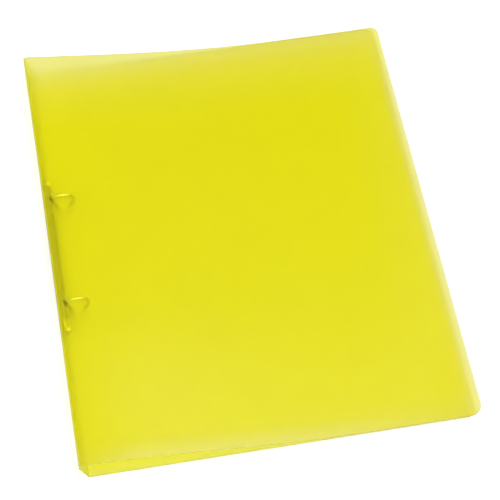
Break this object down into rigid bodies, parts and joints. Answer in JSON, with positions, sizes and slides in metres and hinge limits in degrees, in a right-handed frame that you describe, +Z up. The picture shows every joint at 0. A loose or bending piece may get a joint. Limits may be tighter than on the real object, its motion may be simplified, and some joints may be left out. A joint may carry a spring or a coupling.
{
  "type": "ring binder",
  "caption": "Slim binder of frosted translucent yellow plastic sheet, creased into back cover, spine and front cover, with an arched steel ring mechanism that snaps open to hold punched paper.",
  "frame": {"origin": "middle of the back cover's underside", "axes": "+X from the spine to the fore edge, +Y to the head of the binder, +Z up from the back cover to the front cover"},
  "size_m": [0.2498, 0.312, 0.0207],
  "materials": {
    "cover_sheet": "frosted translucent yellow polypropylene, finely sand-textured",
    "plated_steel": "bright nickel plating on steel"
  },
  "bodies": {
    "back_panel": {"back_cover": "cover_sheet"},
    "spine_panel": {"spine": "cover_sheet", "ring_plate": "plated_steel", "head_rivet": "plated_steel", "tail_rivet": "plated_steel"},
    "front_panel": {"front_cover": "cover_sheet"},
    "front_jaw": {"blade_front": "plated_steel", "head_ring_front_half": "plated_steel", "tail_ring_front_half": "plated_steel"},
    "back_jaw": {"blade_back": "plated_steel", "head_ring_back_half": "plated_steel", "tail_ring_back_half": "plated_steel"}
  },
  "joints": [
    {"name": "back_fold", "type": "hinge", "parent": "back_panel", "child": "spine_panel", "pos_m": [-0.1205, 0, 0.0004], "axis": [0, -1, 0], "range_deg": [0, 76]},
    {"name": "front_fold", "type": "hinge", "parent": "spine_panel", "child": "front_panel", "pos_m": [-0.12546, 0, 0.02029], "axis": [0, -1, 0], "range_deg": [0, 108]},
    {"name": "front_jaw_swing", "type": "hinge", "parent": "spine_panel", "child": "front_jaw", "pos_m": [-0.12165, 0, 0.01285], "axis": [0, -1, 0], "range_deg": [0, 7.5]},
    {"name": "back_jaw_swing", "type": "hinge", "parent": "spine_panel", "child": "back_jaw", "pos_m": [-0.11923, 0, 0.00315], "axis": [0, -1, 0], "range_deg": [-7.5, 0]}
  ],
  "couplings": [
    {"joint": "back_jaw_swing", "follows": "front_jaw_swing", "ratio": -1}
  ]
}
